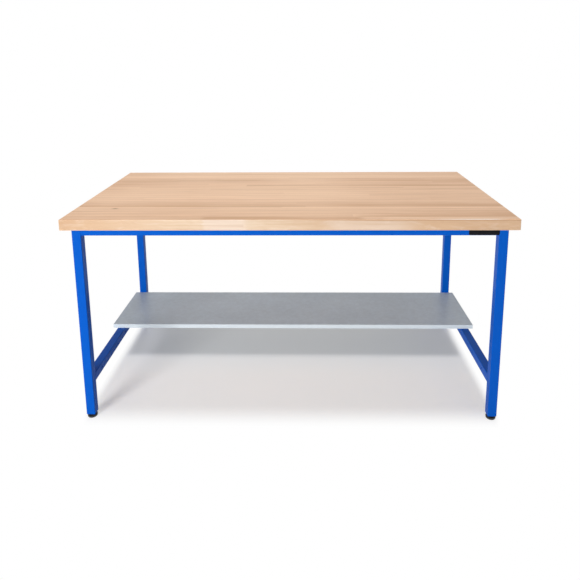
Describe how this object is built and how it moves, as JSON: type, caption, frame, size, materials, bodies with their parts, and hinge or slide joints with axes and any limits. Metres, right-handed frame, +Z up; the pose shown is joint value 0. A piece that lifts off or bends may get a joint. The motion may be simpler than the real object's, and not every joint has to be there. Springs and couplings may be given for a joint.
{
  "type": "assembly table",
  "caption": "Long assembly table: staved hardwood top on a welded square-tube frame, half-depth laminated shelf low at the back, screw-in levelling feet.",
  "frame": {"origin": "on the floor under the middle of the top, with the levelling feet screwed right in", "axes": "+X along the table, +Y towards its back, where the shelf is, +Z up"},
  "size_m": [1.8288, 0.9144, 0.9144],
  "materials": {
    "hardwood": "satin",
    "powder_coat": "satin",
    "bare_steel": "matte",
    "zinc_steel": "satin",
    "black_plastic": "gloss",
    "particle_board": "matte",
    "grey_laminate": "satin",
    "backing_sheet": "matte",
    "edge_band": "satin"
  },
  "bodies": {
    "table": {"top_stave_01": "hardwood", "top_stave_02": "hardwood", "top_stave_03": "hardwood", "top_stave_04": "hardwood", "top_stave_05": "hardwood", "top_stave_06": "hardwood", "top_stave_07": "hardwood", "top_stave_08": "hardwood", "top_stave_09": "hardwood", "top_stave_10": "hardwood", "top_stave_11": "hardwood", "top_stave_12": "hardwood", "top_stave_13": "hardwood", "top_stave_14": "hardwood", "top_stave_15": "hardwood", "top_stave_16": "hardwood", "top_stave_17": "hardwood", "top_stave_18": "hardwood", "top_stave_19": "hardwood", "top_stave_20": "hardwood", "top_stave_21": "hardwood", "top_stave_22": "hardwood", "top_stave_23": "hardwood", "top_stave_24": "hardwood", "leg_front_left": "powder_coat", "leg_front_right": "powder_coat", "leg_rear_left": "powder_coat", "leg_rear_right": "powder_coat", "front_top_rail": "powder_coat", "rear_top_rail": "powder_coat", "left_end_rail": "powder_coat", "right_end_rail": "powder_coat", "cross_rail": "powder_coat", "left_side_rail": "powder_coat", "right_side_rail": "powder_coat", "top_rail_welds": "powder_coat", "side_rail_welds": "powder_coat", "top_clips": "powder_coat", "shelf_clips": "powder_coat", "leg_threaded_ends": "bare_steel", "shelf_core": "particle_board", "shelf_top_laminate": "grey_laminate", "shelf_backing_sheet": "backing_sheet", "shelf_front_edge_band": "edge_band", "shelf_rear_edge_band": "edge_band", "shelf_left_edge_band": "edge_band", "shelf_right_edge_band": "edge_band"},
    "foot_pad_front_left": {"foot_pad_front_left": "black_plastic"},
    "foot_bolt_front_left": {"foot_bolt_front_left": "zinc_steel"},
    "foot_pad_front_right": {"foot_pad_front_right": "black_plastic"},
    "foot_bolt_front_right": {"foot_bolt_front_right": "zinc_steel"},
    "foot_pad_rear_left": {"foot_pad_rear_left": "black_plastic"},
    "foot_bolt_rear_left": {"foot_bolt_rear_left": "zinc_steel"},
    "foot_pad_rear_right": {"foot_pad_rear_right": "black_plastic"},
    "foot_bolt_rear_right": {"foot_bolt_rear_right": "zinc_steel"}
  },
  "joints": [
    {"name": "foot_front_left_extend", "type": "slide", "parent": "table", "child": "foot_pad_front_left", "axis": [0, 0, -1], "range_m": [0, 0.0254]},
    {"name": "foot_front_left_turn", "type": "hinge", "parent": "foot_pad_front_left", "child": "foot_bolt_front_left", "pos_m": [-0.86995, -0.38735, 0], "axis": [0, 0, -1], "range_deg": [0, 5760]},
    {"name": "foot_front_right_extend", "type": "slide", "parent": "table", "child": "foot_pad_front_right", "axis": [0, 0, -1], "range_m": [0, 0.0254]},
    {"name": "foot_front_right_turn", "type": "hinge", "parent": "foot_pad_front_right", "child": "foot_bolt_front_right", "pos_m": [0.86995, -0.38735, 0], "axis": [0, 0, -1], "range_deg": [0, 5760]},
    {"name": "foot_rear_left_extend", "type": "slide", "parent": "table", "child": "foot_pad_rear_left", "axis": [0, 0, -1], "range_m": [0, 0.0254]},
    {"name": "foot_rear_left_turn", "type": "hinge", "parent": "foot_pad_rear_left", "child": "foot_bolt_rear_left", "pos_m": [-0.86995, 0.43615, 0], "axis": [0, 0, -1], "range_deg": [0, 5760]},
    {"name": "foot_rear_right_extend", "type": "slide", "parent": "table", "child": "foot_pad_rear_right", "axis": [0, 0, -1], "range_m": [0, 0.0254]},
    {"name": "foot_rear_right_turn", "type": "hinge", "parent": "foot_pad_rear_right", "child": "foot_bolt_rear_right", "pos_m": [0.86995, 0.43615, 0], "axis": [0, 0, -1], "range_deg": [0, 5760]}
  ],
  "couplings": [
    {"joint": "foot_front_left_turn", "follows": "foot_front_left_extend", "rad_per_m": 3957.9},
    {"joint": "foot_front_right_turn", "follows": "foot_front_right_extend", "rad_per_m": 3957.9},
    {"joint": "foot_rear_left_turn", "follows": "foot_rear_left_extend", "rad_per_m": 3957.9},
    {"joint": "foot_rear_right_turn", "follows": "foot_rear_right_extend", "rad_per_m": 3957.9}
  ]
}
